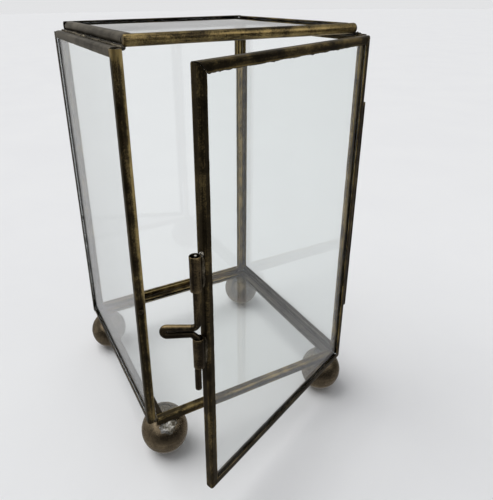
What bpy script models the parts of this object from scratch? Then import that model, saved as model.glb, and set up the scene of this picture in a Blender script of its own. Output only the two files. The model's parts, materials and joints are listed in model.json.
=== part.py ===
"""Candle lantern with a hinged front door.

Five glass panes, each held in four folded brass channels, are soldered into a
box that stands on four brass balls. The sixth pane is the door. It overlaps the
front of the box, swings on a wire run through one long tube, and carries a bent
wire that turns in two short tubes as its latch.

Frame: X to the right along the front, Y to the back, Z up. The origin is on the
candle floor, the upper face of the bottom glass, midway across the box and midway
between the front of its posts and the back of its back pane.
"""

import math

import bmesh
import bpy
from mathutils import Matrix

MM = 0.001
GAP = 0.3  # clearance between pieces that touch or are soldered together

# ---- Driving dimensions, in millimetres -------------------------------------
WIDTH = 100.5  # across the outer faces of the side panes
DEPTH = 95.4  # from the front of the posts to the back of the back pane
SIDE_HEIGHT = 152.0
GLASS = 2.0

FLOOR_DROP = 3.0  # the bottom pane hangs this far below the side panes
FLOOR_INSET = 4.4  # from the lantern's side to the bottom pane's edge
FLOOR_RIM_DROP = 0.1  # the bottom glass thins towards its rim, under the channels
TOP_INSET = 4.6  # from the lantern's side to the top pane's edge
TOP_FRONT_INSET = 0.8
TOP_SINK = 0.2  # how far the top pane sits down between the side panes
POST_DROP = 0.5  # the posts stop short of the top rails

BALL_RADIUS = 10.35
BALL_SINK = 1.1  # filed off the ball's top so that it seats under the frame
BALL_FLAT_RADIUS = 1.6  # worn flat that rests on the table
FOOT_INSETS = {  # ball centre from the side and from the front or back face
    "front_left": (9.0, 6.5),
    "front_right": (6.5, 5.0),
    "back_left": (7.2, 6.0),
    "back_right": (6.3, 5.0),
}

HINGE_INSET = 1.75  # hinge axis from the lantern's right side
HINGE_AHEAD = 2.4  # hinge axis in front of the posts
HINGE_TUBE_RADIUS = 1.3
HINGE_TUBE_BORE = 0.9
HINGE_TUBE_SPAN = (30.2, 126.2)
HINGE_WIRE_RADIUS = 0.6
HINGE_BEND = 1.0
HINGE_WIRE_RISE = 1.1  # the wire's bent ends lie this far beyond the tube

DOOR_WIDTH = 94.3
DOOR_HEIGHT = 150.8
DOOR_BOTTOM = 0.85
DOOR_OPEN_DEG = 22.0

LATCH_TUBE_RADIUS = 1.8
LATCH_TUBE_BORE = 1.42
LATCH_AXIS_OFFSET = 2.4  # latch axis beyond the door's free edge
LATCH_UPPER_SPAN = (86.9, 98.6)
LATCH_LOWER_SPAN = (58.8, 69.9)
LATCH_WIRE_RADIUS = 1.1
LATCH_WIRE_TOP = 96.6
LATCH_WIRE_BOTTOM = 49.8
LATCH_UPPER_BEND = 1.7
LATCH_LOWER_BEND = 1.25
LATCH_UPPER_ARM = 73.6  # height of the handle's upper arm, which is level
LATCH_LOWER_ARM = (71.3, 70.9)  # the lower arm's height at the axis and at the tip
LATCH_REACH = 11.9  # from the axis to the tip of the handle
LATCH_TAIL_KINK = (56.4, 52.8)  # the tail bows out between these heights
LATCH_TAIL_OFFSET = 0.4
LATCH_TURN_DEG = -50.0  # how far the handle is turned back from the door's plane

STUD_FROM_SIDE = 1.4
STUD_Z = 57.3
STUD_RADIUS = 1.0
STUD_THICKNESS = 0.65
STUD_SHANK_RADIUS = 0.6
STUD_SHANK_LENGTH = 0.9

ARC_STEPS = 5
TURN_STEPS = 32
TUBE_STEPS = 24

# ---- Channel sections: thickness across the glass, leg, wall, corner radius --
CAME = {"thick": 3.7, "leg": 3.0, "wall": 0.5, "round": 1.2, "glass_edge": 1.0}
TOP_CAME = {"thick": 3.9, "leg": 3.4, "wall": 0.5, "round": 1.95, "glass_edge": 1.25}
DOOR_CAME = {"thick": 3.6, "leg": 2.9, "wall": 0.5, "round": 1.1, "glass_edge": 1.0}

# ---- Heights worked out from the above ---------------------------------------
SIDE_BOTTOM = FLOOR_DROP - CAME["thick"] / 2 - GLASS / 2
SIDE_TOP = SIDE_BOTTOM + SIDE_HEIGHT
FLOOR_MIDDLE = -GLASS / 2
FLOOR_UNDERSIDE = FLOOR_MIDDLE - CAME["thick"] / 2
TOP_MIDDLE = SIDE_TOP - TOP_SINK + TOP_CAME["thick"] / 2
BACK_HEIGHT = SIDE_HEIGHT - TOP_SINK - GAP
FRONT = -DEPTH / 2
BALL_SEAT = FLOOR_UNDERSIDE - GAP


# ---- Scene helpers -----------------------------------------------------------
def clear_scene():
    for item in list(bpy.data.objects):
        bpy.data.objects.remove(item, do_unlink=True)


def new_collection(name):
    collection = bpy.data.collections.new(name)
    bpy.context.scene.collection.children.link(collection)
    return collection


def principled(name, color, roughness, metallic, transmission=0.0):
    material = bpy.data.materials.new(name)
    material.use_nodes = True
    shader = material.node_tree.nodes["Principled BSDF"]
    shader.inputs["Base Color"].default_value = (*color, 1.0)
    shader.inputs["Roughness"].default_value = roughness
    shader.inputs["Metallic"].default_value = metallic
    shader.inputs["Transmission Weight"].default_value = transmission
    return material


clear_scene()
LANTERN = new_collection("candle_lantern")
CUTTERS = new_collection("cutters")
AGED_BRASS = ((0.105, 0.082, 0.045), 0.38, 1.0)
BALL_BRASS = ((0.090, 0.070, 0.045), 0.30, 1.0)
WIRE_BRASS = ((0.085, 0.065, 0.040), 0.42, 1.0)
CLEAR_GLASS = ((0.93, 0.96, 0.95), 0.02, 0.0, 1.0)


def finish(item, look, parent=None):
    """Puts a finished object in the lantern's collection with a material of its own."""
    LANTERN.objects.link(item)
    item.data.materials.clear()
    item.data.materials.append(principled(item.name + "_material", *look))
    item.parent = parent
    return item


def pivot(name, location, turn_deg=(0.0, 0.0, 0.0), parent=None):
    """An empty whose place and rotation its children share. Millimetres and degrees."""
    empty = bpy.data.objects.new(name, None)
    LANTERN.objects.link(empty)
    empty.location = [v * MM for v in location]
    empty.rotation_euler = [math.radians(a) for a in turn_deg]
    empty.parent = parent
    return empty


def smooth(mesh, angle_deg=40):
    mesh.shade_smooth()
    mesh.set_sharp_from_angle(angle=math.radians(angle_deg))


def arc(center, radius, start_deg, end_deg, steps=ARC_STEPS):
    """Points along an arc, both ends included, as (a, b) pairs."""
    angles = [
        math.radians(start_deg + (end_deg - start_deg) * i / steps)
        for i in range(steps + 1)
    ]
    return [
        (center[0] + radius * math.cos(a), center[1] + radius * math.sin(a))
        for a in angles
    ]


def mesh_from_curve(curve, name, axes=None):
    """The closed mesh of a curve, with its caps welded on and its axes permuted."""
    holder = bpy.data.objects.new(name + "_curve", curve)
    CUTTERS.objects.link(holder)
    graph = bpy.context.evaluated_depsgraph_get()
    mesh = bpy.data.meshes.new_from_object(holder.evaluated_get(graph))
    bpy.data.objects.remove(holder)
    shape = bmesh.new()
    shape.from_mesh(mesh)
    bmesh.ops.remove_doubles(shape, verts=shape.verts, dist=0.001 * MM)
    if axes is not None:
        bmesh.ops.transform(shape, matrix=axes, verts=shape.verts)
    bmesh.ops.recalc_face_normals(shape, faces=shape.faces)
    shape.to_mesh(mesh)
    shape.free()
    mesh.name = name
    return mesh


# ---- Folded channel ----------------------------------------------------------
# A curve's local X, Y and Z become the channel's thickness Y, depth Z and length X.
ALONG_X = Matrix(((0, 0, 1, 0), (1, 0, 0, 0), (0, 1, 0, 0), (0, 0, 0, 1)))


def channel_outline(came):
    """The U section: the web at depth 0, the open side at depth leg."""
    half = came["thick"] / 2
    leg, wall, corner = came["leg"], came["wall"], came["round"]
    hollow = corner - wall
    middle = half - corner
    points = [(-half, leg)]
    points += arc((-middle, corner), corner, 180, 270)
    points += arc((middle, corner), corner, 270, 360)
    points += [(half, leg), (half - wall, leg)]
    points += arc((middle, corner), hollow, 360, 270)
    points += arc((-middle, corner), hollow, 270, 180)
    points += [(-half + wall, leg)]
    return [p for i, p in enumerate(points) if math.dist(p, points[i - 1]) > 0.001]


def channel_mesh(name, length, came, mitred=False):
    """A channel along X, centred, with its web at Z = 0 and its legs towards +Z."""
    outline = channel_outline(came)
    curve = bpy.data.curves.new(name, "CURVE")
    curve.dimensions = "2D"
    curve.fill_mode = "BOTH"
    curve.extrude = length / 2 * MM
    spline = curve.splines.new("POLY")
    spline.points.add(len(outline) - 1)
    for point, (across, deep) in zip(spline.points, outline):
        point.co = (across * MM, deep * MM, 0, 1)
    spline.use_cyclic_u = True
    mesh = mesh_from_curve(curve, name, ALONG_X)
    if mitred:
        half_gap = GAP / math.sqrt(2) * MM
        for vertex in mesh.vertices:
            inward = vertex.co.z + half_gap
            vertex.co.x -= math.copysign(inward, vertex.co.x)
    smooth(mesh)
    return mesh


def place_channel(name, mesh, location, turn_deg, parent):
    item = bpy.data.objects.new(name, mesh)
    item.location = [v * MM for v in location]
    item.rotation_euler = (0, math.radians(turn_deg), 0)
    return finish(item, AGED_BRASS, parent)


def glass_pane(name, width, height, edge, parent, covered=0.0):
    """A plate whose arrises are lightly ground, set back from the channels' webs.

    Where covered is given, the glass is flat on its -Y side up to that distance from
    its edge, and from there it thins to the rim that the channels hide.
    """
    shape = bmesh.new()
    bmesh.ops.create_cube(shape, size=1.0)
    size = (width - 2 * edge, GLASS, height - 2 * edge)
    bmesh.ops.scale(shape, vec=[v * MM for v in size], verts=shape.verts)
    bmesh.ops.bevel(
        shape,
        geom=shape.edges[:],
        offset=0.15 * MM,
        segments=1,
        affect="EDGES",
    )
    if covered:
        face = min(shape.faces, key=lambda f: f.calc_center_median().y)
        ring = bmesh.ops.inset_region(
            shape,
            faces=[face],
            thickness=covered * MM,
            use_even_offset=True,
        )
        rim = {v for f in ring["faces"] for v in f.verts} - set(face.verts)
        drop = (0, FLOOR_RIM_DROP * MM, 0)
        bmesh.ops.translate(shape, vec=drop, verts=list(rim))
    mesh = bpy.data.meshes.new(name)
    shape.to_mesh(mesh)
    shape.free()
    return finish(bpy.data.objects.new(name, mesh), CLEAR_GLASS, parent)


def framed_pane(
    parent, width, height, came, names, through="posts", post_drop=0.0, covered=0.0
):
    """Four channels round a pane in the parent's XZ plane.

    names lists the pieces at low X, high X, low Z and high Z, and the glass. through
    says which pair runs the full length: posts (along Z), rails (along X) or mitre,
    where all four do and meet at 45 degrees.
    """
    low_x, high_x, low_z, high_z, glass = names
    leg = came["leg"]
    mitred = through == "mitre"
    post_length = height - post_drop
    rail_length = width
    post_shift = -post_drop / 2
    if through == "posts":
        rail_length = width - 2 * (leg + GAP)
    if through == "rails":
        post_length = height - 2 * (leg + GAP)
    for name, side, turn in ((low_x, -1, 90), (high_x, 1, -90)):
        mesh = channel_mesh(name, post_length, came, mitred)
        place_channel(name, mesh, (side * width / 2, 0, post_shift), turn, parent)
    for name, side, turn in ((low_z, -1, 0), (high_z, 1, 180)):
        mesh = channel_mesh(name, rail_length, came, mitred)
        place_channel(name, mesh, (0, 0, side * height / 2), turn, parent)
    glass_pane(glass, width, height, came["glass_edge"], parent, covered)


# ---- The fixed box -----------------------------------------------------------
def side_pane(side, name):
    x = side * (WIDTH - CAME["thick"]) / 2
    holder = pivot(name + "_pane", (x, 0, SIDE_BOTTOM + SIDE_HEIGHT / 2), (0, 0, 90))
    parts = ("front_post", "back_post", "bottom_rail", "top_rail", "glass")
    framed_pane(
        holder,
        DEPTH,
        SIDE_HEIGHT,
        CAME,
        [f"{name}_{part}" for part in parts],
        post_drop=POST_DROP,
    )


def back_pane():
    width = WIDTH - 2 * (CAME["thick"] + GAP)
    y = (DEPTH - CAME["thick"]) / 2
    holder = pivot("back_pane", (0, y, SIDE_BOTTOM + BACK_HEIGHT / 2))
    parts = ("left_post", "right_post", "bottom_rail", "top_rail", "glass")
    framed_pane(holder, width, BACK_HEIGHT, CAME, [f"back_{part}" for part in parts])


def bottom_pane():
    width = WIDTH - 2 * FLOOR_INSET
    depth = DEPTH - CAME["thick"] - GAP
    holder = pivot("bottom_pane", (0, FRONT + depth / 2, FLOOR_MIDDLE), (-90, 0, 0))
    parts = ("left_rail", "right_rail", "front_rail", "back_rail", "glass")
    names = [f"bottom_{part}" for part in parts]
    covered = CAME["leg"] - CAME["glass_edge"] + GAP
    framed_pane(holder, width, depth, CAME, names, through="rails", covered=covered)


def cut(item, cutter):
    modifier = item.modifiers.new("cut", "BOOLEAN")
    modifier.operation = "DIFFERENCE"
    modifier.solver = "EXACT"
    modifier.object = cutter


def guide(item, parent=None):
    """Marks an object as a cutter: never rendered, shown as wire, kept apart."""
    CUTTERS.objects.link(item)
    item.hide_render = True
    item.display_type = "WIRE"
    item.parent = parent
    return item


def primitive(name, build, **settings):
    """An object from one bmesh primitive."""
    shape = bmesh.new()
    build(shape, **settings)
    mesh = bpy.data.meshes.new(name)
    shape.to_mesh(mesh)
    shape.free()
    return bpy.data.objects.new(name, mesh)


def top_pane():
    """The top pane: a slotted round bar in front, round-backed channels on the other sides."""
    width = WIDTH - 2 * TOP_INSET
    depth = DEPTH - TOP_FRONT_INSET
    bar_radius = TOP_CAME["thick"] / 2
    leg, edge = TOP_CAME["leg"], TOP_CAME["glass_edge"]
    center_y = FRONT + TOP_FRONT_INSET + depth / 2
    holder = pivot("top_pane", (0, center_y, TOP_MIDDLE), (-90, 0, 0))

    bar = primitive(
        "top_front_rail",
        bmesh.ops.create_cone,
        cap_ends=True,
        segments=TURN_STEPS,
        radius1=bar_radius * MM,
        radius2=bar_radius * MM,
        depth=width * MM,
    )
    bar.data.transform(Matrix.Rotation(math.radians(90), 4, "Y"))
    smooth(bar.data)
    finish(bar, AGED_BRASS, holder)
    bar.location = (0, 0, (bar_radius - depth / 2) * MM)
    slot = primitive("top_front_slot", bmesh.ops.create_cube, size=1.0)
    slot_floor = edge - GAP - bar_radius
    slot_depth = 2 * bar_radius
    slot_size = (width - 2 * (edge - GAP), GLASS + 2 * GAP, slot_depth)
    slot.data.transform(Matrix.Diagonal([v * MM for v in slot_size] + [1]))
    guide(slot, holder)
    slot.location = (0, 0, bar.location.z + (slot_floor + slot_depth / 2) * MM)
    cut(bar, slot)

    rail = channel_mesh("top_back_rail", width, TOP_CAME)
    place_channel("top_back_rail", rail, (0, 0, depth / 2), 180, holder)
    side_length = depth - 2 * bar_radius - leg - 2 * GAP
    shift = (2 * bar_radius - leg) / 2
    for name, side, turn in (("top_left_rail", -1, 90), ("top_right_rail", 1, -90)):
        rail = channel_mesh(name, side_length, TOP_CAME)
        place_channel(name, rail, (side * width / 2, 0, shift), turn, holder)
    glass_pane("top_glass", width, depth, edge, holder)


# ---- Turned pieces and tubes --------------------------------------------------
def turned(name, profile, steps, look, parent=None):
    """A solid turned about Z from (radius, height) points that run down the outer side."""
    mesh = bpy.data.meshes.new(name)
    vertices = [(radius * MM, 0, height * MM) for radius, height in profile]
    closed = profile[0][0] > 0
    count = len(profile)
    edges = [(i, i + 1) for i in range(count - 1)] + ([(count - 1, 0)] if closed else [])
    mesh.from_pydata(vertices, edges, [])
    item = finish(bpy.data.objects.new(name, mesh), look, parent)
    screw = item.modifiers.new("turn", "SCREW")
    screw.axis = "Z"
    screw.steps = steps
    screw.render_steps = steps
    screw.use_merge_vertices = True
    screw.merge_threshold = 0.001 * MM
    screw.use_smooth_shade = True
    return item


def ball_foot(corner):
    """A brass ball with a filed seat on top and a small worn flat below."""
    side = -1 if corner.endswith("left") else 1
    end = -1 if corner.startswith("front") else 1
    inset_x, inset_y = FOOT_INSETS[corner]
    seat_angle = math.degrees(math.asin(1 - BALL_SINK / BALL_RADIUS))
    flat_angle = -math.degrees(math.acos(BALL_FLAT_RADIUS / BALL_RADIUS))
    outer = arc((0, 0), BALL_RADIUS, seat_angle, flat_angle, steps=14)
    profile = [(0, outer[0][1])] + outer + [(0, outer[-1][1])]
    ball = turned("foot_" + corner, profile, TURN_STEPS, BALL_BRASS)
    x = side * (WIDTH / 2 - inset_x)
    y = end * (DEPTH / 2 - inset_y)
    ball.location = (x * MM, y * MM, (BALL_SEAT - outer[0][1]) * MM)


def tube(name, radius, bore, span, parent):
    low, high = span
    profile = [(radius, high), (radius, low), (bore, low), (bore, high)]
    item = turned(name, profile, TUBE_STEPS, WIRE_BRASS, parent)
    item.data.set_sharp_from_angle(angle=math.radians(40))
    return item


def wire(name, points, radius, parent):
    """A round wire along a list of points, as a closed mesh."""
    curve = bpy.data.curves.new(name, "CURVE")
    curve.dimensions = "3D"
    curve.bevel_depth = radius * MM
    curve.bevel_resolution = 3
    curve.use_fill_caps = True
    spline = curve.splines.new("POLY")
    spline.points.add(len(points) - 1)
    for point, place in zip(spline.points, points):
        point.co = (*[v * MM for v in place], 1)
    mesh = mesh_from_curve(curve, name)
    smooth(mesh)
    return finish(bpy.data.objects.new(name, mesh), WIRE_BRASS, parent)


# ---- Hinge, door and latch -----------------------------------------------------
def hinge_pin(axis_pivot):
    """One wire through the hinge tube, with both ends bent back to the post."""
    reach = HINGE_AHEAD - GAP
    low = HINGE_TUBE_SPAN[0] - HINGE_WIRE_RISE
    high = HINGE_TUBE_SPAN[1] + HINGE_WIRE_RISE
    bend = HINGE_BEND
    upper = arc((bend, high - bend), bend, 90, 180)
    lower = arc((bend, low + bend), bend, 180, 270)
    path = [(reach, high)] + upper + lower + [(reach, low)]
    wire("hinge_pin", [(0, back, z) for back, z in path], HINGE_WIRE_RADIUS, axis_pivot)


def door(axis_pivot):
    edge_offset = HINGE_TUBE_RADIUS + GAP
    center = (-(edge_offset + DOOR_WIDTH / 2), 0, DOOR_BOTTOM + DOOR_HEIGHT / 2)
    panel = pivot("door_panel", center, parent=axis_pivot)
    parts = ("latch_stile", "hinge_stile", "bottom_rail", "top_rail", "glass")
    names = [f"door_{part}" for part in parts]
    framed_pane(panel, DOOR_WIDTH, DOOR_HEIGHT, DOOR_CAME, names, through="mitre")
    tube("hinge_tube", HINGE_TUBE_RADIUS, HINGE_TUBE_BORE, HINGE_TUBE_SPAN, axis_pivot)


def latch(axis_pivot):
    """Two tubes on the door's free edge, and the wire that turns in them.

    The wire is bent in one plane: down the axis, out along the handle's upper arm,
    back along its lower arm, and down the axis again to a slightly bowed tail.
    """
    x = -(HINGE_TUBE_RADIUS + GAP + DOOR_WIDTH + LATCH_AXIS_OFFSET)
    tubes = pivot("latch_tubes", (x, 0, 0), parent=axis_pivot)
    tube("latch_tube_upper", LATCH_TUBE_RADIUS, LATCH_TUBE_BORE, LATCH_UPPER_SPAN, tubes)
    tube("latch_tube_lower", LATCH_TUBE_RADIUS, LATCH_TUBE_BORE, LATCH_LOWER_SPAN, tubes)

    turn = pivot("latch_axis", (0, 0, 0), (0, 0, LATCH_TURN_DEG), parent=tubes)
    root_z, tip_z = LATCH_LOWER_ARM
    upper, lower = LATCH_UPPER_BEND, LATCH_LOWER_BEND
    tip_bend = (LATCH_UPPER_ARM - tip_z) / 2
    tip_x = LATCH_REACH - LATCH_WIRE_RADIUS - tip_bend
    kink_top, kink_bottom = LATCH_TAIL_KINK
    path = [(0, LATCH_WIRE_TOP)]
    path += arc((upper, LATCH_UPPER_ARM + upper), upper, 180, 270)
    path += arc((tip_x, tip_z + tip_bend), tip_bend, 90, -90, steps=8)
    path += arc((lower, root_z - lower), lower, 90, 180)
    path += [(0, kink_top), (LATCH_TAIL_OFFSET, kink_bottom)]
    path += [(LATCH_TAIL_OFFSET, LATCH_WIRE_BOTTOM)]
    wire("latch_bolt", [(-out, 0, z) for out, z in path], LATCH_WIRE_RADIUS, turn)


def keeper_stud():
    """A small rivet through the web of the left front post, beside the latch."""
    x = -WIDTH / 2 + STUD_FROM_SIDE
    place = pivot("stud_place", (x, FRONT, STUD_Z), (90, 0, 0))
    head_low, head_high = GAP, GAP + STUD_THICKNESS
    crown = head_high - 0.25
    profile = [
        (0, head_high),
        (STUD_RADIUS * 0.7, head_high),
        (STUD_RADIUS, crown),
        (STUD_RADIUS, head_low),
        (STUD_SHANK_RADIUS, head_low),
        (STUD_SHANK_RADIUS, head_low - STUD_SHANK_LENGTH),
        (0, head_low - STUD_SHANK_LENGTH),
    ]
    turned("keeper_stud", profile, TUBE_STEPS, WIRE_BRASS, place)
    hole_radius = (STUD_SHANK_RADIUS + 0.25) * MM
    drill = primitive(
        "stud_hole",
        bmesh.ops.create_cone,
        cap_ends=True,
        segments=16,
        radius1=hole_radius,
        radius2=hole_radius,
        depth=2 * CAME["glass_edge"] * MM,
    )
    guide(drill, place)
    cut(bpy.data.objects["left_front_post"], drill)


def build():
    side_pane(-1, "left")
    side_pane(1, "right")
    back_pane()
    bottom_pane()
    top_pane()
    for corner in FOOT_INSETS:
        ball_foot(corner)
    keeper_stud()
    axis = (WIDTH / 2 - HINGE_INSET, FRONT - HINGE_AHEAD, 0)
    hinge_pin(pivot("hinge_axis", axis))
    swing = pivot("door_axis", axis, (0, 0, DOOR_OPEN_DEG))
    door(swing)
    latch(swing)


build()
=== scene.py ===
"""Candle lantern: the looks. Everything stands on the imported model's own boxes."""

import json
import math

import bmesh
import bpy
from mathutils import Matrix, Vector, noise

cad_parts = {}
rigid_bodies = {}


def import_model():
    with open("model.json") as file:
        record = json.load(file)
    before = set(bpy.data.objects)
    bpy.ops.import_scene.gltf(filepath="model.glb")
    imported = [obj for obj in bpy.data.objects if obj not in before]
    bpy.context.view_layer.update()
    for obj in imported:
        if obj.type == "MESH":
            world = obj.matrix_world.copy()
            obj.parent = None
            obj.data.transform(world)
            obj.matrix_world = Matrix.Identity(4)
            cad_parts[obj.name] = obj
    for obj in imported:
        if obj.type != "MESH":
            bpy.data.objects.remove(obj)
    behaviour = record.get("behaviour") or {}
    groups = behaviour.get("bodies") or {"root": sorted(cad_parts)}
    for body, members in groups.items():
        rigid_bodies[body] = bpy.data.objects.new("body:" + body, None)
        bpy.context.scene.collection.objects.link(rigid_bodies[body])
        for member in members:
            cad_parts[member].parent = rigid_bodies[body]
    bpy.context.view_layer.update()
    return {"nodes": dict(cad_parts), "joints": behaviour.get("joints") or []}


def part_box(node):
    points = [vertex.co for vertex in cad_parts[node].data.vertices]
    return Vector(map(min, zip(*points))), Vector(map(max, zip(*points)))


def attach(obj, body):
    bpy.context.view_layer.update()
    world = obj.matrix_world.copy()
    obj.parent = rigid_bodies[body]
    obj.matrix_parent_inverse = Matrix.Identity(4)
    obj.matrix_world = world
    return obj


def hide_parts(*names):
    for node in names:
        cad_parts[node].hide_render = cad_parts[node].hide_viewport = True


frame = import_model()

MM = 0.001
BOX, DOOR, LATCH = "lantern_box", "door", "latch"
X, Y, Z = 0, 1, 2
FEET = ("front_left", "front_right", "back_left", "back_right")
# Each side, and the way from it towards the middle.
SIDES = (("left", 1), ("right", -1))
PALE = (0.765, 0.770, 0.780)  # the studio, where it is seen past or through the lantern
LIGHT_BOUNCES = 24  # enough to cross every pane and come back
SCENE = bpy.context.scene


# ---- Camera ------------------------------------------------------------------
LENS = 35.54
SHIFT = (0.0407, -0.0837)
HEADING_DEG, DOWNWARD_DEG, ROLL_DEG = -27.36, 23.62, -0.716
CAMERA_PLACE = (-0.09111, -0.20034, 0.16704)


def photo_camera():
    """The view from the front left and above, as a hand-held camera had it."""
    camera = bpy.data.cameras.new("camera")
    camera.lens = LENS
    camera.shift_x, camera.shift_y = SHIFT
    camera.clip_start, camera.clip_end = 0.01, 50
    holder = bpy.data.objects.new("camera", camera)
    SCENE.collection.objects.link(holder)
    turn = Matrix.Rotation(math.radians(HEADING_DEG), 4, "Z")
    tilt = Matrix.Rotation(math.radians(90 - DOWNWARD_DEG), 4, "X")
    roll = Matrix.Rotation(math.radians(ROLL_DEG), 4, "Z")
    place = Matrix.Translation(CAMERA_PLACE)
    holder.matrix_world = place @ turn @ tilt @ roll
    SCENE.camera = holder


photo_camera()


# ---- Shader helpers -----------------------------------------------------------
# The colour sockets of a Mix node.
MIX_FACTOR, MIX_FIRST, MIX_SECOND, MIX_RESULT = 0, 6, 7, 2


def add(tree, kind, inputs=(), **settings):
    """A shader node. inputs maps a socket to a value, or to another node's output."""
    node = tree.nodes.new("ShaderNode" + kind)
    for key, value in settings.items():
        setattr(node, key, value)
    for key, value in dict(inputs).items():
        if isinstance(value, bpy.types.NodeSocket):
            tree.links.new(value, node.inputs[key])
        else:
            node.inputs[key].default_value = value
    return node


def ramp(tree, value, *stops):
    """A colour ramp of (position, colour) stops; a plain number is a grey."""
    node = add(tree, "ValToRGB", {"Fac": value})
    elements = node.color_ramp.elements
    while len(elements) < len(stops):
        elements.new(0.5)
    for element, (position, color) in zip(elements, stops):
        element.position = position
        color = (color, color, color) if isinstance(color, (int, float)) else color
        element.color = (*color, 1)
    return node.outputs["Color"]


def grain(tree, vector, scale, detail=4.0, rough=0.5, distortion=0.0):
    """A noise value between about 0.3 and 0.7, with scale in features per millimetre."""
    settings = {"Scale": scale, "Detail": detail, "Roughness": rough, "Distortion": distortion}
    return add(tree, "TexNoise", {"Vector": vector, **settings}).outputs["Fac"]


def blend_colors(tree, factor, first, second):
    """From the first colour to the second as the factor, another node's output, rises."""
    node = add(tree, "Mix", {MIX_FACTOR: factor}, data_type="RGBA")
    for index, value in ((MIX_FIRST, first), (MIX_SECOND, second)):
        if isinstance(value, bpy.types.NodeSocket):
            tree.links.new(value, node.inputs[index])
        else:
            node.inputs[index].default_value = (*value, 1)
    return node.outputs[MIX_RESULT]


def math_node(tree, operation, first, second=0.0, third=0.5):
    """A maths node's output. third is what MULTIPLY_ADD adds."""
    return add(tree, "Math", {0: first, 1: second, 2: third}, operation=operation).outputs[0]


def millimetres(tree, stretch=(1, 1, 1)):
    """The piece's own coordinates in millimetres."""
    source = add(tree, "TexCoord").outputs["Object"]
    scale = [1000 * s for s in stretch]
    return add(tree, "Mapping", {"Vector": source, "Scale": scale}).outputs["Vector"]


def surface_millimetres(tree, stretch=(1, 1)):
    """Millimetres along and round the piece, from the UV map that the sweeps make."""
    source = add(tree, "UVMap", uv_map="Metres").outputs["UV"]
    scale = [1000 * s for s in stretch] + [1]
    return add(tree, "Mapping", {"Vector": source, "Scale": scale}).outputs["Vector"]


def new_material(name):
    material = bpy.data.materials.new(name)
    material.use_nodes = True
    tree = material.node_tree
    return material, tree, tree.nodes["Principled BSDF"]


def set_up(tree, shader, **inputs):
    """Sets a shader's sockets to values or to other nodes' outputs; _ stands for a space."""
    for key, value in inputs.items():
        socket = shader.inputs[key.replace("_", " ")]
        if isinstance(value, bpy.types.NodeSocket):
            tree.links.new(value, socket)
        else:
            socket.default_value = value


def bumps(tree, strength, distance, height):
    """The normal of a surface with fine relief, distance in metres."""
    settings = {"Strength": strength, "Distance": distance, "Height": height}
    return add(tree, "Bump", settings).outputs["Normal"]


# ---- Materials ------------------------------------------------------------------
def aged_brass(name, dark, mid, gold, gold_share=0.5, drawn=True, gloss=(0.30, 0.52), metal=1.0):
    """Dark patina over brass, rubbed to gold in streaks and along its edges.

    A drawn piece has long streaks and fine lines along it, and a cast one has clouds. On some pieces the
    gold also paints highlights, reflections and shade.
    """
    material, tree, shader = new_material(name)
    body = millimetres(tree)
    if drawn:
        streak = grain(tree, surface_millimetres(tree, (0.022, 0.55)), 1.0, 3, 0.5, 0.2)
        line = grain(tree, surface_millimetres(tree, (0.06, 3.6)), 1.0, 5, 0.65)
    else:
        streak = grain(tree, body, 0.22, 4, 0.6, 0.5)
        line = grain(tree, body, 1.1, 5, 0.65)
    blotch = grain(tree, body, 0.11, 4, 0.6, 0.4)
    speck = grain(tree, body, 2.4, 6, 0.7)
    tone = math_node(tree, "MULTIPLY_ADD", streak, 0.26, math_node(tree, "MULTIPLY", blotch, 0.32))
    tone = math_node(tree, "MULTIPLY_ADD", line, 0.13, tone)
    tone = math_node(tree, "MULTIPLY_ADD", speck, 0.29, tone)
    patina = ramp(tree, tone, (0.41, dark), (0.50, mid), (0.60, [c * 1.8 for c in mid]))
    # The gold follows this attribute: wear, and on some pieces painted highlight, painted reflection and
    # painted shade.
    wear_and_painted_light = add(tree, "Attribute", attribute_name="wear_and_painted_light").outputs["Fac"]
    edge = math_node(tree, "MULTIPLY_ADD", wear_and_painted_light, 0.13, tone)
    gold_from_wear_and_light = ramp(tree, edge, (0.54, 0.0), (0.67, gold_share))
    height = math_node(tree, "MULTIPLY_ADD", line, 0.5, math_node(tree, "MULTIPLY", speck, 0.5))
    set_up(
        tree,
        shader,
        Base_Color=blend_colors(tree, gold_from_wear_and_light, patina, gold),
        Metallic=metal,
        Specular_IOR_Level=0.2,
        Specular_Tint=(0.82, 0.79, 0.74, 1),
        Roughness=ramp(tree, speck, (0.35, gloss[0]), (0.65, gloss[1])),
        Normal=bumps(tree, 0.4, 0.12 * MM, height),
    )
    return material


def solder_metal():
    """Bright, lumpy solder, dulled in its hollows."""
    material, tree, shader = new_material("solder")
    body = millimetres(tree)
    lump = grain(tree, body, 0.6, 4, 0.55)
    fine = grain(tree, body, 6.0, 4, 0.6)
    hollow, slope, crest = (0.07, 0.06, 0.045), (0.25, 0.235, 0.20), (0.68, 0.66, 0.62)
    height = math_node(tree, "ADD", lump, math_node(tree, "MULTIPLY", fine, 0.4))
    set_up(
        tree,
        shader,
        Base_Color=ramp(tree, lump, (0.38, hollow), (0.5, slope), (0.63, crest)),
        Metallic=1.0,
        Roughness=ramp(tree, fine, (0.3, 0.24), (0.7, 0.45)),
        Normal=bumps(tree, 0.3, 0.2 * MM, height),
    )
    return material


def clear_glass(name):
    """Sheet glass with slow waves, and wiping marks that only change its gloss."""
    material, tree, shader = new_material(name)
    wipe = grain(tree, millimetres(tree, (1, 1, 0.25)), 0.07, 4, 0.6, 1.5)
    waves = grain(tree, millimetres(tree), 0.02, 1)
    set_up(
        tree,
        shader,
        Base_Color=(0.972, 0.990, 0.984, 1),
        Transmission_Weight=1.0,
        IOR=1.5,
        Roughness=ramp(tree, wipe, (0.50, 0.0), (0.72, 0.035)),
        Normal=bumps(tree, 0.12, 0.4 * MM, waves),
    )
    return material


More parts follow.
